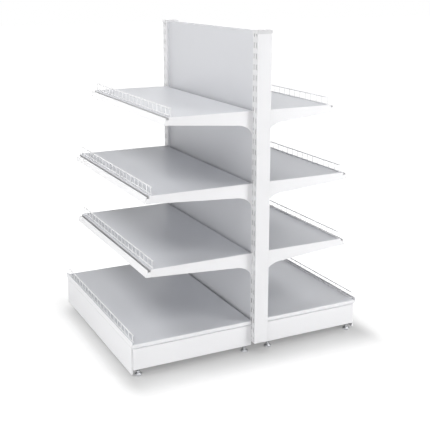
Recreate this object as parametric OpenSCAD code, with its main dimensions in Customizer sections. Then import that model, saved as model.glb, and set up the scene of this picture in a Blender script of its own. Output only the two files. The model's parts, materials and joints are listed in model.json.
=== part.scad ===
// Double-sided gondola shelving bay, free standing, white sheet steel.
// X runs along the bay, Y through its depth and Z up. The floor is Z = 0.
// The deep side faces -Y and is called front. The shallower side is called rear.

/* [Bay] */
// Distance between the centres of the two uprights
bay_len = 1060; // [700:10:1300]
// Height of the legs' lower edge above the floor
leg_clear = 35; // [30:1:42]

/* [Uprights] */
// Width of an upright along the bay
upright_w = 50; // [46:1:70]
// Depth of an upright
upright_d = 75; // [70:1:110]
// Wall of the upright tube
upright_wall = 2; // [1.5:0.5:3]
// Outer corner radius of the upright tube
upright_r = 3; // [2.5:0.5:5]
// Distance from one slot to the next
slot_pitch = 50; // [46:1:60]
// Number of slots in a column
slot_count = 31; // [28:1:36]
// Height of a slot
slot_h = 26; // [25:1:30]
// Width of a slot
slot_w = 5; // [4.5:0.5:6]
// Distance between the two columns of slots
slot_columns = 23; // [20:1:26]
// Lower edge of the lowest slot above the floor
slot_first = 59; // [57:1:64]
// Steel left above the highest slot and below the lowest one
slot_margin = 4; // [3:1:8]

/* [Caps] */
// Thickness of the cap's top
cap_top = 2.5; // [2:0.5:5]
// Height of the skirt outside the upright
cap_skirt = 15; // [10:1:18]
// Wall of the skirt
cap_wall = 1.5; // [1:0.5:2.5]
// Depth of the plug inside the upright
cap_plug = 9; // [6:1:10]

/* [Back panels] */
// Distance from the upright's face back to the panel's face
panel_recess = 12; // [8:1:14]
// Sheet thickness of a back panel
panel_t = 1; // [0.8:0.1:1.5]
// Depth of the folds along a panel's upright edges
panel_fold = 4; // [3:0.5:5]
// Gap between the top folds of the two sides
panel_seam = 3; // [2:1:8]
// Lower edge of the lower panels above the floor
panel_low = 90; // [86:1:110]

/* [Crossbars] */
// Depth of a crossbar tube
bar_d = 36; // [30:1:38]
// Height of a crossbar tube
bar_h = 30; // [26:1:34]
// Wall of a crossbar tube
bar_wall = 2; // [1.5:0.5:3]
// Thickness of a crossbar's end hook
bar_hook_t = 4; // [3:0.5:6]

/* [Base] */
// Depth of the front base from the upright to the kick plate's face
front_base_depth = 634; // [560:1:750]
// Depth of the rear base from the upright to the kick plate's face
rear_base_depth = 550; // [480:1:600]
// Sheet thickness of a leg
leg_t = 3; // [2:0.5:4]
// Width of a leg's folded flanges
leg_flange = 30; // [28:1:40]
// Distance from the kick plate's face back to the leg's end
leg_setback = 7; // [6.5:0.5:14]
// Sheet thickness of decks, trays and kick plates
sheet_t = 1.2; // [1:0.1:2]
// Gap from a deck's end to the plane between two bays
deck_gap = 2; // [1:0.5:4]
// Depth of the deck's inner pan, which stands on the legs
deck_fold = 26; // [22:1:30]
// Distance from a leg's outer face in to the pan's end
pan_inset = 6; // [4:1:10]
// Depth of the deck's skirt and front fold
deck_nose = 18; // [12:1:20]
// Height of the deck's raised front edge
deck_lip = 12; // [8:1:20]
// Lower edge of the kick plate above the floor
kick_low = 8; // [5:1:14]
// Gap between kick plate and deck
kick_gap = 2; // [1:0.5:4]
// Distance from a leg's outer face in to the kick plate's end
kick_inset = 8; // [7:1:14]
// Reach of the clip tongues behind the kick plate
kick_reach = 26; // [20:1:34]

/* [Levelling feet] */
// Radius of a foot's pad
pad_r = 18; // [14:1:20]
// Thickness of the pad
pad_h = 8; // [6:1:10]
// Radius of a foot's stud
stud_r = 5; // [4:0.5:6]
// Length of a foot's stud above its hexagon
stud_len = 51; // [46:1:56]
// Distance from the legs' ends to the feet's axes
foot_inset = 30; // [26:1:50]
// Width across the flats of foot hexagons and nuts
hex_flats = 17; // [15:1:20]
// Height of a nut
nut_h = 8; // [6:1:10]
// Radial gap between stud and nut
nut_gap = 0.08; // [0.04:0.01:0.1]

/* [Shelves] */
// Slot that carries the lowest shelf
first_shelf_slot = 9; // [8:1:10]
// Slots from one shelf to the next
shelf_step = 7; // [6:1:8]
// Depth of the two lower front shelves
front_shelf_depth = 530; // [420:1:560]
// Depth of the top front shelf
front_top_depth = 430; // [340:1:480]
// Depth of the two lower rear shelves
rear_shelf_depth = 446; // [360:1:480]
// Depth of the top rear shelf
rear_top_depth = 357; // [300:1:400]
// Depth of a tray's folds
tray_fold = 30; // [24:1:32]
// Gap between a tray's ends and its brackets
tray_gap = 1; // [0.5:0.5:2]
// Gap between a tray's back edge and the uprights
tray_back = 3; // [2.5:0.5:5]

/* [Brackets] */
// Sheet thickness of a bracket
bracket_t = 3; // [2:0.5:3.5]
// Height of a bracket at its front end
bracket_nose = 37; // [34:1:44]
// Height of a bracket where its flare starts
bracket_mid = 63; // [56:1:72]
// Height of a bracket at the upright
bracket_heel = 120; // [114:1:128]
// Distance from the upright to the start of the flare
bracket_flare = 96; // [70:1:130]
// Width of the ledge that carries the tray
bracket_ledge = 14; // [10:1:20]
// Height from the hook's seat to the bracket's top
hook_seat = 8; // [7:1:9]

/* [Price rails] */
// Height of the slanted face
price_h = 32; // [26:1:36]
// Distance that the face's foot stands out
price_out = 25; // [20:1:32]
// Distance that the face's head stands out
price_mouth = 15; // [10:1:17]
// Wall of the price rail
price_wall = 1.5; // [1.2:0.1:2]

/* [Fences] */
// Height of a fence above its shelf
fence_h = 40; // [30:1:70]
// Radius of the long wires
fence_wire_r = 3; // [1.5:0.25:3.5]
// Radius of the short wires
fence_bar_r = 1.5; // [1:0.25:2]
// Distance from a shelf's front edge back to the fence
fence_inset = 14; // [12:1:24]
// Spaces between the short wires
fence_bars = 20; // [10:5:30]
// Length of the pins below the shelf's top
fence_pin = 14; // [8:1:20]
// Radial gap between pin and hole
pin_gap = 0.3; // [0.2:0.1:0.8]

/* [Hidden] */
$fn = 40;
sides = ["front", "rear"];
ends = ["left", "right"];
levels = [1, 2, 3];
eps = 0.01;
// The slot that is level with the deck, and the two slots that hold each leg
deck_slot = 2;
leg_slots = [1, 0];
// Slots from a bracket's hook down to its lug
lug_step = 2;
// Reach of a cut past the steel, and the overlap of a weld
cut = 1;
weld = 0.5;
// Running gaps
seat_gap = 0.3;
tongue_gap = 0.6;
panel_gap = 0.5;
hook_gap = 0.5;
// Distance from the uprights' tops down to the panels' tops
panel_drop = 4;
// Wall of a cap's plug
plug_wall = 2;
// A crossbar's hook: root in the bar, reach behind the wall, heights about the bar's middle
bar_root = 3;
bar_reach = 6;
bar_hook_high = 8;
bar_hook_low = 6;
bar_hook_drop = 12;
bar_slot_high = 15;
// Hooks and lugs of brackets and legs: root, reach behind the wall, heights from seat and slot
arm_root = 1;
hook_reach = 9;
hook_drop = 14;
hook_lead = 4.3;
lug_reach = 3;
lug_low = 5;
lug_high = 17;
lug_slope = 1;
// A bracket's lower end, steps of its flare in degrees, and the ledge's distance from its ends
heel_land = 5;
flare_step = 9;
ledge_inset = 20;
// Folds of deck lip, kick plate and tray, and the gap before the deck's pan
lip_hem = 5;
kick_hem = 6;
tray_lip = 10;
pan_step = 2;
// Width of the kick plate's tongues, and their depths below the legs' tops
tongue_w = 12;
tongue_drops = [66, 36];
// A price rail's back and the head of its face below the tray's top, its foot below the face,
// and its end plates' tops below the head
rail_back = 4;
rail_head = 4;
rail_foot = 1;
rail_dip = 8;
// Distance from a tray's end in to the fence's end, and short wires from one pin to the next
fence_gap = 8;
pin_step = 5;
// The cone above a foot's pad, and the hexagon on it
cone_in = 3;
cone_h = 6;
hex_h = 8;

slot_half = slot_columns / 2;
upright_x = bay_len / 2;
upright_in = upright_x - upright_w / 2;
upright_low = slot_first - slot_margin;
upright_top = slot_bottom(slot_count - 1) + slot_h + slot_margin;
face_y = upright_d / 2;

// Brackets and legs lie in the plane of the slot column next to the bay
arm_x = upright_x - slot_half;
arm_in = arm_x - bracket_t / 2;
leg_in = arm_x - leg_t / 2;
leg_out = arm_x + leg_t / 2;

deck_top = slot_bottom(deck_slot) + hook_seat;
leg_top = deck_top - deck_fold;
deck_half = upright_x - deck_gap;
pan_half = leg_out - pan_inset;
nose_low = deck_top - deck_nose;
kick_top = nose_low - kick_gap;
kick_half = leg_out - kick_inset;

panel_y = face_y - panel_recess;
panel_half = upright_in - panel_gap;
panel_top = upright_top - panel_drop;
panel_mid = shelf_z(2);
fold_y = panel_seam / 2;

tray_half = arm_in - tray_gap;
rail_half = arm_x + bracket_t / 2;
fence_half = tray_half - fence_gap;
foot_x = leg_in - leg_flange / 2;
hex_low = pad_h + cone_h;
kick_tongues = [for (drop = tongue_drops) leg_top - drop];
bar_out = fence_wire_r + fence_bar_r - weld;

function slot_bottom(i) = slot_first + slot_pitch * i;
function shelf_slot(k) = first_shelf_slot + shelf_step * (k - 1);
function shelf_z(k) = slot_bottom(shelf_slot(k)) + hook_seat;
function base_depth(s) = s == "front" ? front_base_depth : rear_base_depth;
function low_depth(s) = s == "front" ? front_shelf_depth : rear_shelf_depth;
function top_depth(s) = s == "front" ? front_top_depth : rear_top_depth;
function shelf_depth(s, k) = k == 3 ? top_depth(s) : low_depth(s);
// Level 0 is the base deck
function surface_z(k) = k == 0 ? deck_top : shelf_z(k);
function surface_depth(s, k) = k == 0 ? base_depth(s) : shelf_depth(s, k);
function bar_x(i) = fence_half * (2 * i / fence_bars - 1);
function is_pin(i) = i % pin_step == 0;
function fence_d(s, k) = surface_depth(s, k) - fence_inset;
function foot_d(s, place) = place == "inner" ? foot_inset : base_depth(s) - leg_setback - foot_inset;

foot_places = ["inner", "outer"];
fence_levels = [0, 1, 2, 3];

// Places the bay so that the origin is under the middle of its outline
module placed() {
    translate([0, (front_base_depth - rear_base_depth) / 2, 0]) children();
}

// Frames of reference: an end of the bay, and a side with Y outward from the upright's face

module at_end(e) {
    mirror([e == "left" ? 1 : 0, 0, 0]) children();
}

module at_side(s) {
    mirror([0, s == "front" ? 1 : 0, 0]) translate([0, face_y, 0]) children();
}

// An outline in depth and height, extruded along the bay
module along(x0, x1, outline) {
    translate([x0, 0, 0]) rotate([90, 0, 90]) linear_extrude(x1 - x0) polygon(outline);
}

module block(low, high) {
    translate(low) cube(high - low);
}

module rounded(w, d, r) {
    square([w - 2 * r, d], center = true);
    square([w, d - 2 * r], center = true);
    for (x = [-1, 1], y = [-1, 1]) translate([x * (w / 2 - r), y * (d / 2 - r)]) circle(r);
}

// Uprights

module bar_slot(z) {
    // Seat for a crossbar's hook in the wall that faces the bay
    block(
        [upright_in - cut, -bar_hook_t / 2 - tongue_gap / 2, z - bar_hook_low],
        [upright_in + upright_wall + cut, bar_hook_t / 2 + tongue_gap / 2, z + bar_slot_high]
    );
}

module upright(e) {
    at_end(e) color("white") difference() {
        translate([upright_x, 0, upright_low]) linear_extrude(upright_top - upright_low) difference() {
            rounded(upright_w, upright_d, upright_r);
            rounded(
                upright_w - 2 * upright_wall,
                upright_d - 2 * upright_wall,
                upright_r - upright_wall / 2
            );
        }
        for (i = [0 : slot_count - 1], c = [-1, 1]) {
            block(
                [upright_x + c * slot_half - slot_w / 2, -face_y - cut, slot_bottom(i)],
                [upright_x + c * slot_half + slot_w / 2, face_y + cut, slot_bottom(i) + slot_h]
            );
        }
        bar_slot(top_bar_mid);
        bar_slot(low_bar_mid);
    }
}

module cap(e) {
    plug_w = upright_w - 2 * upright_wall - 2 * seat_gap;
    plug_d = upright_d - 2 * upright_wall - 2 * seat_gap;
    skirt_w = upright_w + 2 * cap_wall + 2 * seat_gap;
    skirt_d = upright_d + 2 * cap_wall + 2 * seat_gap;
    at_end(e) color("gainsboro") translate([upright_x, 0, upright_top]) {
        difference() {
            translate([0, 0, -cap_skirt]) linear_extrude(cap_skirt + cap_top) {
                rounded(skirt_w, skirt_d, upright_r);
            }
            translate([0, 0, -cap_skirt - cut]) linear_extrude(cap_skirt + cut) {
                rounded(skirt_w - 2 * cap_wall, skirt_d - 2 * cap_wall, upright_r);
            }
            // The skirt is open towards the bay, where crossbar and panels meet the upright
            block(
                [-skirt_w, -skirt_d, -cap_skirt - cut],
                [-upright_w / 2 + upright_r, skirt_d, 0]
            );
            block(
                [-skirt_w, -skirt_d, -cap_skirt - cut],
                [-upright_w / 2, skirt_d, cap_top + cut]
            );
        }
        translate([0, 0, -cap_plug]) linear_extrude(cap_plug + eps) difference() {
            square([plug_w, plug_d], center = true);
            square([plug_w - 2 * plug_wall, plug_d - 2 * plug_wall], center = true);
        }
    }
}

// Crossbars

top_bar_mid = panel_top - panel_t - bar_h / 2;
low_bar_mid = panel_low - bar_h / 2;

module bar_hook(z) {
    // Reaches through the upright's wall and drops behind it
    reach = upright_in + upright_wall;
    hook = [
        [upright_in - bar_root, z + bar_hook_high],
        [reach + bar_reach, z + bar_hook_high],
        [reach + bar_reach, z - bar_hook_drop],
        [reach + seat_gap, z - bar_hook_drop],
        [reach + seat_gap, z - bar_hook_low],
        [upright_in - bar_root, z - bar_hook_low]
    ];
    translate([0, bar_hook_t / 2, 0]) rotate([90, 0, 0]) linear_extrude(bar_hook_t) polygon(hook);
}

module crossbar(z) {
    bar_half = upright_in - seat_gap;
    color("white") {
        difference() {
            block([-bar_half, -bar_d / 2, z - bar_h / 2], [bar_half, bar_d / 2, z + bar_h / 2]);
            block(
                [-bar_half + bar_wall, -bar_d / 2 + bar_wall, z - bar_h / 2 + bar_wall],
                [bar_half - bar_wall, bar_d / 2 - bar_wall, z + bar_h / 2 - bar_wall]
            );
        }
        for (e = ends) at_end(e) bar_hook(z);
    }
}

// Back panels

module panel(s, low, high) {
    // A sheet with its four edges folded inward: deep folds at top and bottom, short ones at the sides
    at_side(s) translate([0, -face_y, 0]) color("white") difference() {
        block([-panel_half, fold_y, low], [panel_half, panel_y, high]);
        block(
            [-panel_half + panel_t, fold_y - cut, low + panel_t],
            [panel_half - panel_t, panel_y - panel_t, high - panel_t]
        );
        block(
            [-panel_half - cut, fold_y - cut, low + panel_t],
            [panel_half + cut, panel_y - panel_fold, high - panel_t]
        );
    }
}

// Base

module arm_hook(t, seat_z, lug_z) {
    // Hook and lug at the back of a bracket or leg, in the plane of a slot column
    behind = -upright_wall;
    hook_top = seat_z + hook_seat - hook_gap;
    along(arm_x - t / 2, arm_x + t / 2, [
        [arm_root, hook_top],
        [behind - hook_reach, hook_top],
        [behind - hook_reach, seat_z - hook_drop],
        [behind - hook_lead, seat_z - hook_drop],
        [behind - seat_gap, seat_z],
        [arm_root, seat_z]
    ]);
    along(arm_x - t / 2, arm_x + t / 2, [
        [arm_root, lug_z + lug_high],
        [behind - lug_reach, lug_z + lug_high - lug_slope],
        [behind - lug_reach, lug_z + lug_low + 2 * lug_slope],
        [arm_root, lug_z + lug_low]
    ]);
}

module leg(s, e) {
    tip = base_depth(s) - leg_setback;
    flange_in = leg_in - leg_flange;
    at_end(e) at_side(s) color("white") {
        difference() {
            union() {
                block([leg_in, seat_gap, leg_clear], [leg_out, tip, leg_top]);
                for (z = [leg_clear, leg_top - leg_t]) {
                    block([flange_in, seat_gap, z], [leg_out, tip, z + leg_t]);
                }
                block([flange_in, tip - leg_t, leg_clear], [leg_out, tip, leg_top]);
            }
            for (p = foot_places) translate([foot_x, foot_d(s, p), leg_clear - cut]) {
                cylinder(h = leg_t + 2 * cut, r = stud_r + tongue_gap);
            }
            for (z = kick_tongues) {
                block(
                    [foot_x - tongue_w / 2 - tongue_gap, tip - leg_t - cut, z - tongue_gap],
                    [foot_x + tongue_w / 2 + tongue_gap, tip + cut, z + sheet_t + tongue_gap]
                );
            }
        }
        arm_hook(leg_t, slot_bottom(leg_slots[0]), slot_bottom(leg_slots[1]));
    }
}

module kick_plate(s) {
    // A sheet with its four edges folded back, and tongues that clip into the legs
    face = base_depth(s);
    at_side(s) color("white") {
        difference() {
            block([-kick_half, face - kick_hem, kick_low], [kick_half, face, kick_top]);
            block(
                [-kick_half + sheet_t, face - kick_hem - cut, kick_low + sheet_t],
                [kick_half - sheet_t, face - sheet_t, kick_top - sheet_t]
            );
        }
        for (e = ends, z = kick_tongues) at_end(e) {
            block(
                [foot_x - tongue_w / 2, face - kick_reach, z],
                [foot_x + tongue_w / 2, face - sheet_t / 2, z + sheet_t]
            );
        }
    }
}

module pin_holes(s, k) {
    for (i = [0 : fence_bars]) if (is_pin(i)) {
        translate([bar_x(i), fence_d(s, k) + bar_out, surface_z(k) - sheet_t - cut]) {
            cylinder(h = sheet_t + 2 * cut, r = fence_bar_r + pin_gap);
        }
    }
}

module deck(s) {
    // A pan turned upside down on the legs, a skirt outside it, and a raised front edge
    face = base_depth(s);
    pan_face = face - leg_setback - pan_step;
    lip_top = deck_top + deck_lip;
    at_side(s) color("white") difference() {
        union() {
            block([-pan_half, tray_back, leg_top], [pan_half, pan_face, deck_top]);
            block([-deck_half, tray_back, nose_low], [deck_half, face, deck_top]);
            block([-deck_half, face - sheet_t, nose_low], [deck_half, face, lip_top]);
            block([-deck_half, face - lip_hem, lip_top - sheet_t], [deck_half, face, lip_top]);
        }
        block(
            [-pan_half + sheet_t, tray_back + sheet_t, leg_top - cut],
            [pan_half - sheet_t, face - sheet_t, deck_top - sheet_t]
        );
        block(
            [-deck_half + sheet_t, tray_back + sheet_t, nose_low + sheet_t],
            [deck_half - sheet_t, face - sheet_t, deck_top - sheet_t]
        );
        pin_holes(s, 0);
    }
}

// Levelling feet

module hexagon(h) {
    cylinder(h = h, r = hex_flats / 2 / cos(30), $fn = 6);
}

module foot(s, e, p) {
    at_end(e) at_side(s) translate([foot_x, foot_d(s, p), 0]) color("silver") {
        cylinder(h = pad_h, r = pad_r);
        translate([0, 0, pad_h]) cylinder(h = cone_h, r1 = pad_r - cone_in, r2 = stud_r + cone_in);
        translate([0, 0, hex_low]) hexagon(hex_h);
        cylinder(h = hex_low + hex_h + stud_len, r = stud_r);
    }
}

module foot_nuts() {
    for (s = sides, e = ends, p = foot_places) {
        at_end(e) at_side(s) translate([foot_x, foot_d(s, p), leg_clear + leg_t]) color("silver") {
            difference() {
                hexagon(nut_h);
                translate([0, 0, -cut]) cylinder(h = nut_h + 2 * cut, r = stud_r + nut_gap);
            }
        }
    }
}

// Shelves

module tray(s, k) {
    depth = shelf_depth(s, k);
    z = shelf_z(k);
    at_side(s) color("white") difference() {
        block([-tray_half, tray_back, z - tray_fold], [tray_half, depth, z]);
        block(
            [-tray_half + sheet_t, tray_back + sheet_t, z - tray_fold + sheet_t],
            [tray_half - sheet_t, depth - sheet_t, z - sheet_t]
        );
        // The front and back folds end in a short return, and the end folds are plain
        block(
            [-tray_half + sheet_t, tray_back + tray_lip, z - tray_fold - cut],
            [tray_half - sheet_t, depth - tray_lip, z - sheet_t]
        );
        pin_holes(s, k);
    }
}

// Points of the concave curve from the flare's start down to the bracket's heel
function flare(t) = [
    bracket_flare - (bracket_flare - heel_land) * cos(t),
    -bracket_heel + (bracket_heel - bracket_mid) * sin(t)
];

module bracket(s, k, e) {
    depth = shelf_depth(s, k);
    z = shelf_z(k);
    outline = concat(
        [[seat_gap, 0], [depth, 0], [depth, -bracket_nose]],
        [for (t = [90 : -flare_step : 0]) flare(t)],
        [[seat_gap, -bracket_heel]]
    );
    at_end(e) at_side(s) color("white") {
        translate([0, 0, z]) along(arm_in, arm_in + bracket_t, outline);
        block(
            [arm_in - bracket_ledge, ledge_inset, z - tray_fold - bracket_t],
            [arm_in + eps, depth - ledge_inset, z - tray_fold]
        );
        arm_hook(bracket_t, slot_bottom(shelf_slot(k)), slot_bottom(shelf_slot(k) - lug_step));
    }
}

module price_rail(s, k) {
    // A channel open at the top, with a slanted face and a lower plate at each end
    w = price_wall;
    foot_z = -rail_head - price_h - rail_foot;
    plate_z = -rail_head - rail_dip;
    plate_out = price_mouth + (price_out - price_mouth) * rail_dip / price_h;
    at_side(s) color("white") translate([0, shelf_depth(s, k), shelf_z(k)]) {
        along(-rail_half, rail_half, [
            [0, -rail_back],
            [w, -rail_back],
            [w, foot_z + w],
            [price_out - 2 * w, foot_z + w],
            [price_mouth - w, -rail_head],
            [price_mouth, -rail_head],
            [price_out, foot_z + rail_foot],
            [price_out, foot_z],
            [0, foot_z]
        ]);
        for (e = ends) at_end(e) along(rail_half - w, rail_half, [
            [0, plate_z],
            [plate_out, plate_z],
            [price_out, foot_z + rail_foot],
            [price_out, foot_z],
            [0, foot_z]
        ]);
    }
}

// Fences

module long_wire(z) {
    translate([-fence_half, 0, z]) rotate([0, 90, 0]) cylinder(h = 2 * fence_half, r = fence_wire_r);
}

module fence(s, k) {
    low = fence_wire_r + seat_gap;
    high = fence_h - fence_wire_r;
    at_side(s) translate([0, fence_d(s, k), surface_z(k)]) color("whitesmoke") {
        long_wire(low);
        long_wire(high);
        for (i = [0 : fence_bars]) {
            drop = is_pin(i) ? fence_pin : -weld;
            translate([bar_x(i), bar_out, -drop]) cylinder(h = fence_h + drop, r = fence_bar_r);
        }
    }
}

for (e = ends) {
    placed() upright(e);
    placed() cap(e);
}
placed() crossbar(top_bar_mid);  // top_crossbar
placed() crossbar(low_bar_mid);  // bottom_crossbar
placed() foot_nuts();
for (s = sides) {
    placed() panel(s, panel_low, panel_mid);
    placed() panel(s, panel_mid, panel_top);
    placed() kick_plate(s);
    placed() deck(s);
    for (e = ends) {
        placed() leg(s, e);
        for (p = foot_places) {
            placed() foot(s, e, p);
        }
    }
    for (k = levels) {
        placed() tray(s, k);
        placed() price_rail(s, k);
        for (e = ends) {
            placed() bracket(s, k, e);
        }
    }
    for (k = fence_levels) {
        placed() fence(s, k);
    }
}
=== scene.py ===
import json
from math import cos, pi, radians

import bmesh
import bpy
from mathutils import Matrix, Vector

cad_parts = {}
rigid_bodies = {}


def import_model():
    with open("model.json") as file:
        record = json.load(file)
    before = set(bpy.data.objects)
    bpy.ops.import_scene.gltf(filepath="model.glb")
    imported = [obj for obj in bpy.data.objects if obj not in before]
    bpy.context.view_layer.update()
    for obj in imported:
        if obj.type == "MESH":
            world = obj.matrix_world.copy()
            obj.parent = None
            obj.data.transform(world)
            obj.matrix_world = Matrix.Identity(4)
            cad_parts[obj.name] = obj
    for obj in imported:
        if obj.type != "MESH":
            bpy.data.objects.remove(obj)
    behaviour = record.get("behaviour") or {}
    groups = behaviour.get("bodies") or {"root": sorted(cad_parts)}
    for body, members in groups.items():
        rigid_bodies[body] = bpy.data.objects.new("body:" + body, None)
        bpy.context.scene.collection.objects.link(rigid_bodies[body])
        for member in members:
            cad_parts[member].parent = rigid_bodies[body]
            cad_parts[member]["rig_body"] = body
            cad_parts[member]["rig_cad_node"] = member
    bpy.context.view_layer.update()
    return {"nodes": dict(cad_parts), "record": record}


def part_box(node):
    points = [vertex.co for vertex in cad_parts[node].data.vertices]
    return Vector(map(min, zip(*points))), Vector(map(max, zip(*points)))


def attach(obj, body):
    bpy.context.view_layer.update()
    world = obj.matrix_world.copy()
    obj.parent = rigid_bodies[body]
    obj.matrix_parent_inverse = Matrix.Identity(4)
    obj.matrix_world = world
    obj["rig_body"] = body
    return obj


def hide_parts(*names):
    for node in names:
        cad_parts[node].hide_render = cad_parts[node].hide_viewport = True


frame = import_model()
nodes = frame["nodes"]
print("frame loaded with", len(nodes), "nodes")

bodyOf = {part: body for body, parts in frame["record"]["behaviour"]["bodies"].items() for part in parts}
sides = {"front": -1, "rear": 1}  # the way each side faces along Y
ends = ("left", "right")
levels = (1, 2, 3)
tubeLow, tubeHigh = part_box("upright_right")
middleY = (tubeLow.y + tubeHigh.y) / 2  # the plane between front and rear


# Materials

white = (1, 1, 1, 1)
noiseMiddle = 0.5  # the value that a noise swings about


class Wire:  # an output socket that can stand in a sum
    def __init__(self, recipe, socket):
        self.recipe, self.socket = recipe, socket

    def __add__(self, other):
        return self.recipe.maths("ADD", self, other)

    def __sub__(self, other):
        return self.recipe.maths("SUBTRACT", self, other)

    def __rsub__(self, other):
        return self.recipe.maths("SUBTRACT", other, self)

    def __mul__(self, other):
        return self.recipe.maths("MULTIPLY", self, other)

    def __lt__(self, other):
        return self.recipe.maths("LESS_THAN", self, other)

    __radd__, __rmul__ = __add__, __mul__


class Recipe:  # a material or world, and the nodes that it is made of
    def __init__(self, owner):
        owner.use_nodes = True
        self.owner, self.tree = owner, owner.node_tree
        self.tree.nodes.clear()

    def add(self, kind, settings=None, inputs=None, output=0):
        node = self.tree.nodes.new(kind)
        for key, value in (settings or {}).items():
            setattr(node, key, value)
        for key, value in (inputs or {}).items():
            if isinstance(value, Wire):
                self.tree.links.new(value.socket, node.inputs[key])
            else:
                node.inputs[key].default_value = value
        return Wire(self, node.outputs[output]) if len(node.outputs) else None

    def maths(self, operation, first, second):
        return self.add("ShaderNodeMath", {"operation": operation}, {0: first, 1: second})

    def vector(self, operation, *inputs, output=0):
        return self.add("ShaderNodeVectorMath", {"operation": operation}, dict(enumerate(inputs)), output)

    def place(self):  # the point on the piece
        return self.add("ShaderNodeTexCoord", output="Object")

    def apart(self, point, middle):  # how far a point is from a middle, along each axis
        return self.vector("ABSOLUTE", self.vector("SUBTRACT", point, middle))

    def noise(self, size, detail, stretch=None):
        point = self.place()
        if stretch:
            point = self.add("ShaderNodeMapping", None, {"Vector": point, "Scale": stretch})
        return self.add("ShaderNodeTexNoise", None, {"Vector": point, "Scale": 1 / size, "Detail": detail})

    def band(self, value, low, high, start=0, end=1, course="LINEAR"):  # start up to low, end from high on
        return self.add("ShaderNodeMapRange", {"interpolation_type": course}, {
            "Value": value, "From Min": low, "From Max": high, "To Min": start, "To Max": end})

    def within(self, middle, half):  # 1 inside the two upright boxes round x = +-middle.x, y = middle.y
        point = self.apart(self.apart(self.place(), (0, middle.y, 0)), (middle.x, 0, 0))
        x, y = (self.add("ShaderNodeSeparateXYZ", None, {0: point}, axis) for axis in "XY")
        return (x < half[0]) * (y < half[1])

    def blend(self, share, first, second):  # inputs 6 and 7 and output 2 are the Mix node's colours
        return self.add("ShaderNodeMix", {"data_type": "RGBA"}, {0: share, 6: first, 7: second}, 2)

    def bump(self, strength, depth, height):
        return self.add("ShaderNodeBump", None, {"Strength": strength, "Distance": depth, "Height": height})

    def finish(self, inputs):
        shader = self.add("ShaderNodeBsdfPrincipled", None, inputs)
        self.add("ShaderNodeOutputMaterial", None, {"Surface": shader})
        return self.owner

    def finishTwofold(self, output, light, view):  # light falls on the bay, view is what the camera sees
        ways = ("Is Camera Ray", "Is Glossy Ray", "Is Transmission Ray")  # straight, mirrored, through glass
        seen = sum(self.add("ShaderNodeLightPath", output=way) for way in ways)
        shader = self.add("ShaderNodeMixShader", None, {0: seen, 1: light, 2: view})
        self.add(output, None, {"Surface": shader})


def shade(colour, factor):
    return tuple(c * factor for c in colour[:3]) + (1.0,)


powderLook = {  # a noise is given as its size, its detail and its stretch
    "colour": (0.93, 0.93, 0.945, 1), "roughness": 0.42,
    "cloud": (0.22, 3), "cloudShade": 0.975, "cloudRough": 0.10,  # broad patches, a little darker or rougher
    "peel": (0.0021, 1), "peelHeight": 0.75,
    "grit": (0.0006, 2), "gritHeight": 0.25, "gritRough": 0.08,
    "scratch": (0.02, 4, (0.12, 1, 1)), "scratchBand": (0.62, 0.7), "scratchRough": 0.05,
    "bump": 0.6, "depth": 0.00003,
}
uprightLook = {
    **powderLook, "colour": (0.90, 0.90, 0.915, 1),
    "slottedShade": (0.76, 0.76, 0.77, 1), "skin": 0.0002,  # painted shade on the faces with the slots, and how far in from them it reaches
    "hollowShade": (0.26, 0.26, 0.265, 1), "wall": 0.0015,  # painted shade on the steel inside the tube, and the tube's wall
}
# the trays and decks are the same white coat, greyed here as painted shade
trayShadeLook = {**powderLook, "colour": (0.748, 0.759, 0.79, 1)}
# the panels are the same white coat, greyed here as painted shade
panelShadeLook = {**powderLook, "colour": (0.66, 0.667, 0.692, 1), "roughness": 0.5, "scratchRough": 0.02}
railLook = {**powderLook, "colour": (0.95, 0.95, 0.96, 1), "roughness": 0.32, "scratchRough": 0.02}
grooveShadeLook = {**railLook, "colour": (0.70, 0.70, 0.71, 1), "roughness": 0.5}  # painted shade in the channel between tray and rail
wireLook = {
    **powderLook, "colour": (0.95, 0.95, 0.96, 1), "peel": (0.004, 1), "roughness": 0.3, "scratchRough": 0.0,
}


def tubeColour(recipe, look, colour):  # paints shade on the slotted faces, and darker shade in the hollow
    middle, half = (tubeLow + tubeHigh) / 2, (tubeHigh - tubeLow) / 2
    behindFaces = recipe.within(middle, (half.x + look["skin"], half.y - look["skin"]))
    hollow = recipe.within(middle, (half.x - look["wall"], half.y - look["wall"]))
    return recipe.blend(hollow, recipe.blend(behindFaces, look["slottedShade"], colour), look["hollowShade"])


def coatMaterial(name, look):
    recipe = Recipe(bpy.data.materials.new(name))
    cloud, peel, grit = (recipe.noise(*look[kind]) for kind in ("cloud", "peel", "grit"))
    scratch = recipe.band(recipe.noise(*look["scratch"]), *look["scratchBand"])
    colour = recipe.blend(cloud, shade(look["colour"], look["cloudShade"]), look["colour"])
    if "hollowShade" in look:
        colour = tubeColour(recipe, look, colour)
    rough = look["roughness"] + (cloud - noiseMiddle) * look["cloudRough"]
    rough = rough + (grit - noiseMiddle) * look["gritRough"] + scratch * look["scratchRough"]
    bump = recipe.bump(look["bump"], look["depth"], peel * look["peelHeight"] + grit * look["gritHeight"])
    return recipe.finish({"Base Color": colour, "Roughness": rough, "Normal": bump})


capLook = {
    "colour": (0.77, 0.77, 0.78, 1), "roughness": 0.55, "cloud": (0.03, 2), "cloudShade": 0.94,
    "grain": (0.0009, 2), "grainRough": 0.15, "bump": 0.7, "depth": 0.00006,
}


def plasticMaterial(name, look):
    recipe = Recipe(bpy.data.materials.new(name))
    cloud, grain = recipe.noise(*look["cloud"]), recipe.noise(*look["grain"])
    colour = recipe.blend(cloud, shade(look["colour"], look["cloudShade"]), look["colour"])
    rough = look["roughness"] + (grain - noiseMiddle) * look["grainRough"]
    bump = recipe.bump(look["bump"], look["depth"], grain)
    return recipe.finish({"Base Color": colour, "Roughness": rough, "Normal": bump})


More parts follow.
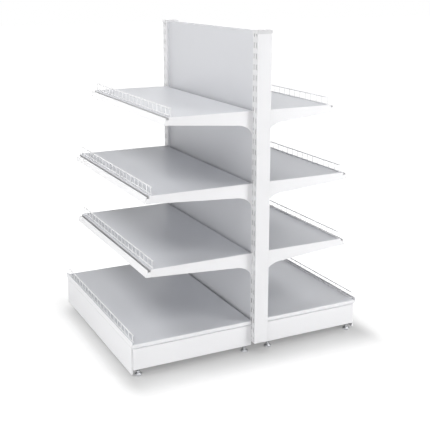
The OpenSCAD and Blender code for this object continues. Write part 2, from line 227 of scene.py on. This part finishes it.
zincLook = {
    "colour": (0.66, 0.67, 0.69, 1), "metal": 0.9, "roughness": 0.34,
    "spangle": 0.0035, "spangleShade": 0.86,
    "lines": (0.0006, 2, (1, 1, 0.08)), "linesRough": 0.2, "bump": 0.4, "depth": 0.00003,
    "stain": (0.012, 3), "stainBand": (0.5, 0.75), "stainShare": 0.5, "stainShade": 0.62, "stainRough": 0.15,
}


def zincMaterial(name, look):
    recipe = Recipe(bpy.data.materials.new(name))
    fineness = 1 / look["spangle"]
    cells = recipe.add("ShaderNodeTexVoronoi", None, {"Vector": recipe.place(), "Scale": fineness})
    lines = recipe.noise(*look["lines"])
    stain = recipe.band(recipe.noise(*look["stain"]), *look["stainBand"])
    bright = recipe.blend(cells, shade(look["colour"], look["spangleShade"]), look["colour"])
    colour = recipe.blend(stain * look["stainShare"], bright, shade(look["colour"], look["stainShade"]))
    rough = look["roughness"] + (lines - noiseMiddle) * look["linesRough"] + stain * look["stainRough"]
    bump = recipe.bump(look["bump"], look["depth"], lines)
    return recipe.finish({
        "Base Color": colour, "Metallic": look["metal"], "Roughness": rough, "Normal": bump})


coat = coatMaterial("powderCoat", powderLook)
trayShadeCoat = coatMaterial("trayShadeCoat", trayShadeLook)
grooveShadeCoat = coatMaterial("grooveShadeCoat", grooveShadeLook)
finishes = {  # by the start of a node's name
    "upright": coatMaterial("uprightCoat", uprightLook), "top_crossbar": coat, "bottom_crossbar": coat,
    "leg": coat, "kick_plate": coat, "bracket": coat, "tray": trayShadeCoat, "deck": trayShadeCoat,
    "panel": coatMaterial("panelShadeCoat", panelShadeLook), "price_rail": coatMaterial("railCoat", railLook),
    "fence": coatMaterial("wireCoat", wireLook), "cap": plasticMaterial("capPlastic", capLook),
    "foot": zincMaterial("brightZinc", zincLook),
}


def paint(piece, nodeName):
    fitting = (finish for kind, finish in finishes.items() if nodeName.startswith(kind))
    piece.data.materials.clear()
    piece.data.materials.append(next(fitting))


for name, node in nodes.items():
    paint(node, name)
print("materials made:", len(finishes))


# Selecting, and the shapes and folds that several pieces share

sameSpot = 0.0001
along = 0.9  # a unit direction has more than this of an axis that it follows
across = 0.1  # and less than this of one that it crosses
smoothAngle = 35


def near(a, b):
    return abs(a - b) < sameSpot


def faces(way, axis, turn):  # a normal that points up the axis for turn 1, down it for -1
    return getattr(way, axis) * turn > along


def runs(way, axis):  # a direction that follows the axis, up or down
    return abs(getattr(way, axis)) > along


def setMode(mode):
    bpy.ops.object.mode_set(mode=mode)


def clearSelection():
    bpy.ops.object.select_all(action="DESELECT")


def makeActive(piece):
    clearSelection()
    piece.select_set(True)
    bpy.context.view_layer.objects.active = piece


def bringHome():  # moves a piece's place, turn and scale into its mesh
    bpy.ops.object.transform_apply(location=True, rotation=True, scale=True)
    return bpy.context.object


def startBlock(name, low, high):  # a block from one corner to the other
    clearSelection()
    bpy.ops.mesh.primitive_cube_add(size=1, location=(Vector(low) + Vector(high)) / 2)
    piece = bpy.context.object
    piece.name = name
    piece.scale = Vector(high) - Vector(low)
    return bringHome()


def pickFaces(piece, test):  # test gets a face's middle and normal
    bpy.ops.mesh.select_mode(type="FACE")
    bpy.ops.mesh.select_all(action="DESELECT")
    mesh = bmesh.from_edit_mesh(piece.data)
    for face in mesh.faces:
        face.select_set(bool(test(face.calc_center_median(), face.normal)))
    bmesh.update_edit_mesh(piece.data)


def pickEdges(piece, test, rimOnly=False):  # test gets an edge's middle and unit direction
    bpy.ops.mesh.select_mode(type="EDGE")
    bpy.ops.mesh.select_all(action="DESELECT")
    mesh = bmesh.from_edit_mesh(piece.data)
    for edge in mesh.edges:
        a, b = (corner.co for corner in edge.verts)
        wanted = edge.is_boundary or not rimOnly
        edge.select_set(bool(wanted and test((a + b) / 2, (b - a).normalized())))
    bmesh.update_edit_mesh(piece.data)


def removeFaces(piece, test):
    pickFaces(piece, test)
    bpy.ops.mesh.delete(type="ONLY_FACE")


def foldOn(piece, test, move):  # draws rim edges on into a further flange
    pickEdges(piece, test, rimOnly=True)
    bpy.ops.mesh.extrude_region_move(TRANSFORM_OT_translate={"value": move})


def bendEdges(piece, test, radius, steps=3):
    pickEdges(piece, test)
    bpy.ops.mesh.bevel(offset=radius, segments=steps, affect="EDGES")


def startFolded(name, low, high, hem, bend):  # faces -Y, folded back on four edges, left in edit mode
    piece = startBlock(name, low, (high.x, low.y + hem, high.z))
    setMode("EDIT")
    removeFaces(piece, lambda at, way: faces(way, "y", 1))
    bendEdges(piece, lambda at, way: near(at.y, low.y) or runs(way, "y"), bend)
    return piece


def paintShading(piece, finish, test):  # gives the faces that pass the test another material, for painted shade
    makeActive(piece)
    piece.data.materials.append(finish)
    piece.active_material_index = len(piece.data.materials) - 1
    setMode("EDIT")
    pickFaces(piece, test)
    bpy.ops.object.material_slot_assign()
    setMode("OBJECT")


def thicken(piece, sheet):  # the wall grows inwards from the outer face
    makeActive(piece)
    wall = piece.modifiers.new("sheet", "SOLIDIFY")
    wall.thickness, wall.offset, wall.use_even_offset = sheet, -1, True
    bpy.ops.object.modifier_apply(modifier=wall.name)


def smooth(piece, angle=smoothAngle):
    makeActive(piece)
    bpy.ops.object.shade_smooth_by_angle(angle=radians(angle))
    even = piece.modifiers.new("evenNormals", "WEIGHTED_NORMAL")
    even.keep_sharp = True
    bpy.ops.object.modifier_apply(modifier=even.name)


def joined(pieces):
    makeActive(pieces[0])
    for piece in pieces:
        piece.select_set(True)
    bpy.ops.object.join()
    return bpy.context.object


pinShape = {
    "places": (-0.508, -0.254, 0, 0.254, 0.508), "back": 0.011,  # x, and the distance behind the front face
    "radius": 0.0018, "cutterSides": 20, "cutterHigh": 0.02,
}


def pinHoles(piece, face, out, z):  # the row of holes for a fence's pins
    cutters = []
    for x in pinShape["places"]:
        clearSelection()
        bpy.ops.mesh.primitive_cylinder_add(
            vertices=pinShape["cutterSides"], radius=pinShape["radius"], depth=pinShape["cutterHigh"],
            location=(x, face - out * pinShape["back"], z))
        cutters.append(bpy.context.object)
    cutter = joined(cutters)
    makeActive(piece)
    cut = piece.modifiers.new("holes", "BOOLEAN")
    cut.object, cut.solver = cutter, "EXACT"
    bpy.ops.object.modifier_apply(modifier=cut.name)
    bpy.data.objects.remove(cutter)


def faceAndBack(low, high, out):  # a piece's y at its front edge and at the back panels
    return (low.y, high.y) if out < 0 else (high.y, low.y)


def copyTo(piece, shift=(0, 0, 0), turned=False):  # turned: half a turn about the bay's middle
    makeActive(piece)
    bpy.ops.object.duplicate(linked=False)
    copy = bpy.context.object
    if turned:
        copy.rotation_euler = (0, 0, pi)
        copy.location = (0, 2 * middleY, 0)
    copy.location = copy.location + Vector(shift)
    return bringHome()


def dress(piece, nodeName):
    piece.name = "made_" + nodeName
    piece.data.name = piece.name
    paint(piece, nodeName)
    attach(piece, bodyOf[nodeName])
    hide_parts(nodeName)


# Trays and price rails

trayShape = {"sheet": 0.0012, "bend": 0.0022, "lip": 0.010}


def makeTray(look, nodeName, out):
    low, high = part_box(nodeName)
    face, back = faceAndBack(low, high, out)
    piece = startBlock("tray", low, high)
    setMode("EDIT")
    removeFaces(piece, lambda at, way: faces(way, "z", -1))
    bendEdges(piece, lambda at, way: near(at.z, high.z) or runs(way, "z"), look["bend"])
    for y, turn in ((face, -out), (back, out)):
        def rim(at, way):
            return runs(way, "x") and near(at.y, y)

        foldOn(piece, rim, (0, turn * look["lip"], 0))
        bendEdges(piece, lambda at, way: rim(at, way) and near(at.z, low.z), look["bend"])
    setMode("OBJECT")
    thicken(piece, look["sheet"])
    pinHoles(piece, face, out, high.z)
    smooth(piece)
    return piece


def makeTrays(look):
    for side, out in sides.items():
        lowest = makeTray(look, f"tray_{side}_1", out)
        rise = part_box(f"tray_{side}_2")[1].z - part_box(f"tray_{side}_1")[1].z
        dress(copyTo(lowest, (0, 0, rise)), f"tray_{side}_2")
        dress(lowest, f"tray_{side}_1")
        dress(makeTray(look, f"tray_{side}_3", out), f"tray_{side}_3")


railShape = {
    "wall": 0.0015, "bend": 0.0013, "mouth": 0.015,
    "dip": 0.008,  # from the rail's top down to its end plates' top
}


def makeRails(look):
    low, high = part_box("price_rail_front_1")
    plateTop = high.z - look["dip"]

    def bent(at, way):
        return not near(at.z, high.z) and (runs(way, "x") or at.z < plateTop)

    piece = startBlock("priceRail", low, high)
    setMode("EDIT")
    removeFaces(piece, lambda at, way: faces(way, "z", 1))
    pickEdges(piece, lambda at, way: runs(way, "x") and near(at.y, low.y) and near(at.z, high.z))
    bpy.ops.transform.translate(value=(0, high.y - look["mouth"] - low.y, 0))
    pickFaces(piece, lambda at, way: runs(way, "x"))
    bpy.ops.mesh.bisect(plane_co=(0, 0, plateTop), plane_no=(0, 0, 1))
    removeFaces(piece, lambda at, way: runs(way, "x") and at.z > plateTop)
    bendEdges(piece, bent, look["bend"])
    setMode("OBJECT")
    thicken(piece, look["wall"])
    smooth(piece)
    starts = {"front": low, "rear": Vector((low.x, 2 * middleY - high.y, low.z))}
    for side, start in starts.items():
        for level in levels:
            nodeName = f"price_rail_{side}_{level}"
            if nodeName != "price_rail_front_1":
                dress(copyTo(piece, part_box(nodeName)[0] - start, side == "rear"), nodeName)
    dress(piece, "price_rail_front_1")


def looksIn(middle, at, way):  # whether a face of a channel along X faces the channel's middle
    if runs(way, "x"):
        return at.x * way.x < 0
    return (middle.y - at.y) * way.y + (middle.z - at.z) * way.z > 0


def shadeGrooves():  # paints shade on the front channels' insides and on the trays' folds behind them
    for level in levels:
        low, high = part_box(f"price_rail_front_{level}")
        middle = (low + high) / 2
        rail = bpy.data.objects[f"made_price_rail_front_{level}"]
        paintShading(rail, grooveShadeCoat, lambda at, way: looksIn(middle, at, way))
        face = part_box(f"tray_front_{level}")[0].y
        tray = bpy.data.objects[f"made_tray_front_{level}"]
        paintShading(tray, grooveShadeCoat, lambda at, way: faces(way, "y", -1) and near(at.y, face))


makeTrays(trayShape)
makeRails(railShape)
shadeGrooves()
print("shelves made")


# Decks and kick plates

deckShape = {
    "sheet": 0.0012, "bend": 0.0024, "lipHem": 0.005, "pan": 0.5134,  # pan: half its length
    "top": 0.167, "skirtLow": 0.149, "panLow": 0.141,  # heights above the floor
    "steep": 0.7,  # a face whose normal rises less than this has the kick plates' white; flatter faces keep the tray coat's painted shade
}


def makeDeckTop(look, low, high, behind, back, out):  # the sheet, its skirt, and the pan between the legs
    start = (low.x, min(behind, back), look["skirtLow"])
    piece = startBlock("deck", start, (high.x, max(behind, back), look["top"]))
    setMode("EDIT")
    removeFaces(piece, lambda at, way: faces(way, "z", -1) or faces(way, "y", out))
    for x in (-look["pan"], look["pan"]):
        bpy.ops.mesh.select_all(action="SELECT")
        bpy.ops.mesh.bisect(plane_co=(x, 0, 0), plane_no=(1, 0, 0))

    def bent(at, way):
        rim = near(at.z, look["top"]) and not near(at.y, behind)
        panLine = runs(way, "y") and near(abs(at.x), look["pan"])
        corner = runs(way, "z") and near(abs(at.x), high.x)
        return (rim and not panLine) or corner

    def lowRim(at, way):
        return runs(way, "y") and near(at.z, look["skirtLow"])

    bendEdges(piece, bent, look["bend"])
    drop = (0, 0, look["panLow"] - look["skirtLow"])
    foldOn(piece, lambda at, way: runs(way, "x") and near(at.y, back) and abs(at.x) < look["pan"], drop)
    for turn in (-1, 1):
        skirt, pan = turn * high.x, turn * look["pan"]
        foldOn(piece, lambda at, way: lowRim(at, way) and near(at.x, skirt), (pan - skirt, 0, 0))
        foldOn(piece, lambda at, way: lowRim(at, way) and near(at.x, pan), drop)
    bendEdges(piece, lambda at, way: lowRim(at, way) and near(abs(at.x), high.x), look["bend"])
    setMode("OBJECT")
    thicken(piece, look["sheet"])
    return piece


def makeDeckLip(look, low, high, face, out):  # the folded lip along the front edge
    hem = face - out * look["lipHem"]
    start = (low.x, min(face, hem), look["skirtLow"])
    piece = startBlock("deckLip", start, (high.x, max(face, hem), high.z))
    setMode("EDIT")
    removeFaces(piece, lambda at, way: faces(way, "z", -1) or faces(way, "y", -out) or runs(way, "x"))
    bendEdges(piece, lambda at, way: near(at.z, high.z) and near(at.y, face), look["bend"])
    setMode("OBJECT")
    thicken(piece, look["sheet"])
    return piece


def makeDecks(look):
    for side, out in sides.items():
        low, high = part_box(f"deck_{side}")
        face, back = faceAndBack(low, high, out)
        top = makeDeckTop(look, low, high, face - out * look["sheet"], back, out)
        pinHoles(top, face, out, look["top"])
        deck = joined([top, makeDeckLip(look, low, high, face, out)])
        smooth(deck)
        dress(deck, f"deck_{side}")
        # painted shade: the deck's upward faces stay grey, its steeper faces get the plain white
        paintShading(deck, coat, lambda at, way: abs(way.z) < look["steep"])


kickShape = {
    "sheet": 0.0012, "bend": 0.0022, "hem": 0.006,
    "tongueX": 0.502, "tongueWide": 0.012, "tongueLow": (0.075, 0.105), "tip": 0.004, "tipSteps": 4,
}


def makeTongue(look, x, z, start, tip):  # clips into a leg; start and tip are its ends' y
    half = look["tongueWide"] / 2
    tongue = startBlock("tongue", (x - half, start, z), (x + half, tip, z + look["sheet"]))
    setMode("EDIT")
    bendEdges(tongue, lambda at, way: runs(way, "z") and near(at.y, tip), look["tip"], look["tipSteps"])
    setMode("OBJECT")
    return tongue


def makeKickPlates(look):
    low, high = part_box("kick_plate_front")
    plate = startFolded("kickPlate", low, high, look["hem"], look["bend"])
    setMode("OBJECT")
    thicken(plate, look["sheet"])
    places = [(x, z) for x in (-look["tongueX"], look["tongueX"]) for z in look["tongueLow"]]
    plate = joined([plate] + [makeTongue(look, x, z, low.y + look["sheet"] / 2, high.y) for x, z in places])
    smooth(plate)
    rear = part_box("kick_plate_rear")
    dress(copyTo(plate, (0, rear[1].y - (2 * middleY - low.y), 0), True), "kick_plate_rear")
    dress(plate, "kick_plate_front")


makeDecks(deckShape)
makeKickPlates(kickShape)
print("base made")


# Back panels

panelShape = {"sheet": 0.001, "bend": 0.0022, "hem": 0.004}


def makePanels(look):
    for part in ("lower", "upper"):
        low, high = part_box(f"panel_{part}_front")
        panel = startFolded("panel", low, high, look["hem"], look["bend"])
        foldOn(panel, lambda at, way: runs(way, "x"), (0, high.y - low.y - look["hem"], 0))
        setMode("OBJECT")
        thicken(panel, look["sheet"])
        smooth(panel)
        dress(copyTo(panel, turned=True), f"panel_{part}_rear")
        dress(panel, f"panel_{part}_front")


# Levelling feet

footShape = {
    "padSides": 48, "padRadius": 0.018, "padHigh": 0.008, "padEdge": 0.002, "padSteps": 4,
    "neckLow": 0.015, "neckTop": 0.008, "neckHigh": 0.006,
    "flats": 0.017, "hexHigh": 0.008, "chamfer": 0.0012, "chamferSteps": 2,
    "coreSides": 24, "core": 0.0044, "coreEdge": 0.001,
    "stud": 0.005, "ridge": 0.0006, "pitch": 0.0015, "turnSteps": 16, "tipHigh": 0.002,
}


def makeCylinder(count, radius, x, y, low, high, turn=0):
    clearSelection()
    bpy.ops.mesh.primitive_cylinder_add(
        vertices=count, radius=radius, depth=high - low,
        location=(x, y, (low + high) / 2), rotation=(0, 0, turn))
    return bringHome()


def makePad(look, x, y, low):
    pad = makeCylinder(look["padSides"], look["padRadius"], x, y, low, low + look["padHigh"])
    setMode("EDIT")
    bendEdges(pad, lambda at, way: abs(way.z) < across, look["padEdge"], look["padSteps"])
    pickFaces(pad, lambda at, way: faces(way, "z", 1) and near(at.x, x) and near(at.y, y))
    bpy.ops.mesh.inset(thickness=look["padRadius"] - look["padEdge"] - look["neckLow"])
    bpy.ops.mesh.extrude_region_move(TRANSFORM_OT_translate={"value": (0, 0, look["neckHigh"])})
    narrow = look["neckTop"] / look["neckLow"]
    bpy.ops.transform.resize(value=(narrow, narrow, 1), center_override=(x, y, look["padHigh"]))
    setMode("OBJECT")
    return pad


def makeHexagon(look, x, y, low):
    slant = radians(30)  # half the angle between two corners
    radius = look["flats"] / 2 / cos(slant)
    hexagon = makeCylinder(6, radius, x, y, low, low + look["hexHigh"], slant)
    setMode("EDIT")
    bendEdges(hexagon, lambda at, way: abs(way.z) < across, look["chamfer"], look["chamferSteps"])
    setMode("OBJECT")
    return hexagon


def makeCore(look, x, y, low, high):
    core = makeCylinder(look["coreSides"], look["core"], x, y, low, high)
    setMode("EDIT")
    bendEdges(core, lambda at, way: near(at.z, high), look["coreEdge"], look["chamferSteps"])
    setMode("OBJECT")
    return core


def makeThread(look, x, y, low, high):  # a ridge of three sides, wound up the stud
    clearSelection()
    bpy.ops.mesh.primitive_circle_add(
        vertices=3, radius=look["ridge"], location=(look["stud"] - look["ridge"], 0, 0),
        rotation=(radians(90), radians(90), 0))
    thread = bringHome()
    helix = thread.modifiers.new("helix", "SCREW")
    helix.screw_offset, helix.iterations = look["pitch"], int((high - low) / look["pitch"])
    helix.steps, helix.render_steps = look["turnSteps"], look["turnSteps"]
    helix.use_normal_calculate = True
    bpy.ops.object.modifier_apply(modifier=helix.name)
    thread.location = (x, y, low)
    bringHome()
    setMode("EDIT")
    bpy.ops.mesh.select_all(action="SELECT")
    bpy.ops.mesh.fill_holes(sides=4)  # the ridge's two ends
    bpy.ops.mesh.select_all(action="SELECT")
    bpy.ops.mesh.normals_make_consistent(inside=False)
    setMode("OBJECT")
    return thread


def makeFoot(look, nodeName):
    low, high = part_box(nodeName)
    x, y = (low.x + high.x) / 2, (low.y + high.y) / 2
    hexLow = look["padHigh"] + look["neckHigh"]
    threadLow = hexLow + look["hexHigh"] - look["pitch"]
    foot = joined([
        makePad(look, x, y, low.z), makeHexagon(look, x, y, hexLow), makeCore(look, x, y, hexLow, high.z),
        makeThread(look, x, y, threadLow, high.z - look["tipHigh"])])
    smooth(foot)
    return foot


def makeFeet(look):
    model = makeFoot(look, "foot_front_right_inner")
    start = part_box("foot_front_right_inner")[0]
    names = [f"foot_{side}_{end}_{place}" for side in sides for end in ends for place in ("inner", "outer")]
    for nodeName in names:
        if nodeName != "foot_front_right_inner":
            dress(copyTo(model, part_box(nodeName)[0] - start), nodeName)
    dress(model, "foot_front_right_inner")


# Legs, brackets, caps and nuts are copies of the plain solids with rounded edges

softShape = {
    "widths": {"leg": 0.0006, "bracket": 0.0006, "cap": 0.0009, "foot_nuts": 0.0006}, "steps": 2,
    "weld": 0.000002, "flat": 0.5, "sharp": 40, "smooth": 50,  # a length, then three angles in degrees
}


def softCopy(look, nodeName, width):
    makeActive(nodes[nodeName])
    bpy.ops.object.duplicate(linked=False)
    piece = bpy.context.object
    bpy.ops.object.parent_clear(type="CLEAR_KEEP_TRANSFORM")
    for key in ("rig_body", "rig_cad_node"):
        del piece[key]
    setMode("EDIT")
    bpy.ops.mesh.select_all(action="SELECT")
    bpy.ops.mesh.remove_doubles(threshold=look["weld"])
    bpy.ops.mesh.dissolve_limited(angle_limit=radians(look["flat"]))
    setMode("OBJECT")
    bpy.ops.mesh.customdata_custom_splitnormals_clear()
    edges = piece.modifiers.new("roundEdges", "BEVEL")
    edges.limit_method, edges.angle_limit = "ANGLE", radians(look["sharp"])
    edges.width, edges.segments, edges.use_clamp_overlap = width, look["steps"], False
    bpy.ops.object.modifier_apply(modifier=edges.name)
    smooth(piece, look["smooth"])
    return piece


def softenNodes(look):
    for nodeName in list(nodes):
        for kind, width in look["widths"].items():
            if nodeName.startswith(kind):
                dress(softCopy(look, nodeName, width), nodeName)


makePanels(panelShape)
makeFeet(footShape)
softenNodes(softShape)
print("panels, feet, legs, brackets and caps made")


# Stage, lamps and camera

stageLook = {
    "size": 60, "drop": 0.0004,  # a hair below the feet
    "grey": 0.93, "seenGrey": 0.45,  # the grey that lights the bay, and the grey that the camera sees
    "middle": (0.10, 0, 0), "half": (0.43, 0.625, 0),  # the ground from whose edge the painted shadow starts
    "reach": (0.25, 0.12, 1),  # the painted shadow's width
    "dim": 0.25, "clear": 0.66,  # the glow where the painted shadow starts and where it ends
    "outer": (0.7, 2.5), "far": 0.4,  # the glow added further out, from and to so many reaches
}


def makeStage(look):
    clearSelection()
    bpy.ops.mesh.primitive_plane_add(size=look["size"], location=(0, 0, -look["drop"]))
    floor = bpy.context.object
    floor.name = "floor"
    recipe = Recipe(bpy.data.materials.new("floorPaint"))
    past = recipe.vector("SUBTRACT", recipe.apart(recipe.place(), look["middle"]), look["half"])
    reaches = recipe.vector("DIVIDE", recipe.vector("MAXIMUM", past, (0, 0, 0)), look["reach"])
    away = recipe.vector("LENGTH", reaches, output="Value")
    # the camera-only glow is kept low near the base: a painted shadow round the base
    glow = recipe.band(away, 0, 1, look["dim"], look["clear"], "SMOOTHSTEP")
    beyond = recipe.band(away, *look["outer"], 0, look["far"], "SMOOTHSTEP")
    light = recipe.add("ShaderNodeBsdfDiffuse", None, {"Color": shade(white, look["grey"])})
    seenPaint = recipe.add("ShaderNodeBsdfDiffuse", None, {"Color": shade(white, look["seenGrey"])})
    seenGlow = recipe.add("ShaderNodeEmission", None, {"Strength": glow + beyond})
    view = recipe.add("ShaderNodeAddShader", None, {0: seenPaint, 1: seenGlow})
    recipe.finishTwofold("ShaderNodeOutputMaterial", light, view)
    floor.data.materials.append(recipe.owner)


worldLook = {"light": 0.04}


def makeWorld(look):
    recipe = Recipe(bpy.data.worlds.new("studio"))
    bpy.context.scene.world = recipe.owner
    light = recipe.add("ShaderNodeBackground", None, {"Color": white, "Strength": look["light"]})
    view = recipe.add("ShaderNodeBackground", None, {"Color": white})
    recipe.finishTwofold("ShaderNodeOutputWorld", light, view)


bayMiddle = (0, 0, 0.7)
lamps = {  # place, size and power in watts; each faces the bay's middle
    "endFrontLamp": {"place": (3.8, -3.2, 1.0), "size": 2.0, "power": 30},
    "endFrontHighLamp": {"place": (3.0, -2.6, 3.6), "size": 2.0, "power": 27},
    "frontLowLamp": {"place": (0.9, -4.6, 1.0), "size": 2.2, "power": 49},
    "frontHighLamp": {"place": (0, -2.4, 4.2), "size": 1.8, "power": 63},
    "farEndLamp": {"place": (-4.6, -0.7, 0.8), "size": 2.0, "power": 32},
    "topLamp": {"place": (0, 0, 4.6), "size": 2.0, "power": 23},
    "rearHighLamp": {"place": (0, 2.6, 4.2), "size": 1.8, "power": 30},
    "endRearLamp": {"place": (3.8, 3.2, 1.0), "size": 2.0, "power": 77},
    "endRearHighLamp": {"place": (3.0, 2.6, 3.6), "size": 2.0, "power": 54},
    "backLeftLamp": {"place": (-4.0, 2.0, 2.6), "size": 2.0, "power": 3},
    "rearLowLamp": {"place": (0, 4.6, 1.0), "size": 2.2, "power": 10},
}


def makeLamps():
    for name, look in lamps.items():
        bpy.ops.object.light_add(type="AREA", location=look["place"])
        lamp = bpy.context.object
        lamp.name = name
        lamp.data.shape, lamp.data.size, lamp.data.energy = "SQUARE", look["size"], look["power"]
        lamp.rotation_euler = (Vector(bayMiddle) - lamp.location).to_track_quat("-Z", "Y").to_euler()


cameraLook = {  # heading and down in degrees, and rise as a share of the picture's width
    "place": (3.844, -1.851, 1.811), "heading": 63.55, "down": 13.14, "lens": 68.66, "rise": -0.10,
}


def makeCamera(look):
    turn = (radians(90 - look["down"]), 0, radians(look["heading"]))
    bpy.ops.object.camera_add(location=look["place"], rotation=turn)
    camera = bpy.context.object
    camera.name = "photoCamera"
    camera.data.lens, camera.data.shift_y = look["lens"], look["rise"]
    bpy.context.scene.camera = camera


makeStage(stageLook)
makeWorld(worldLook)
makeLamps()
makeCamera(cameraLook)
bpy.context.scene.view_settings.view_transform = "Standard"
print("stage, lamps and camera set")

print("finished")
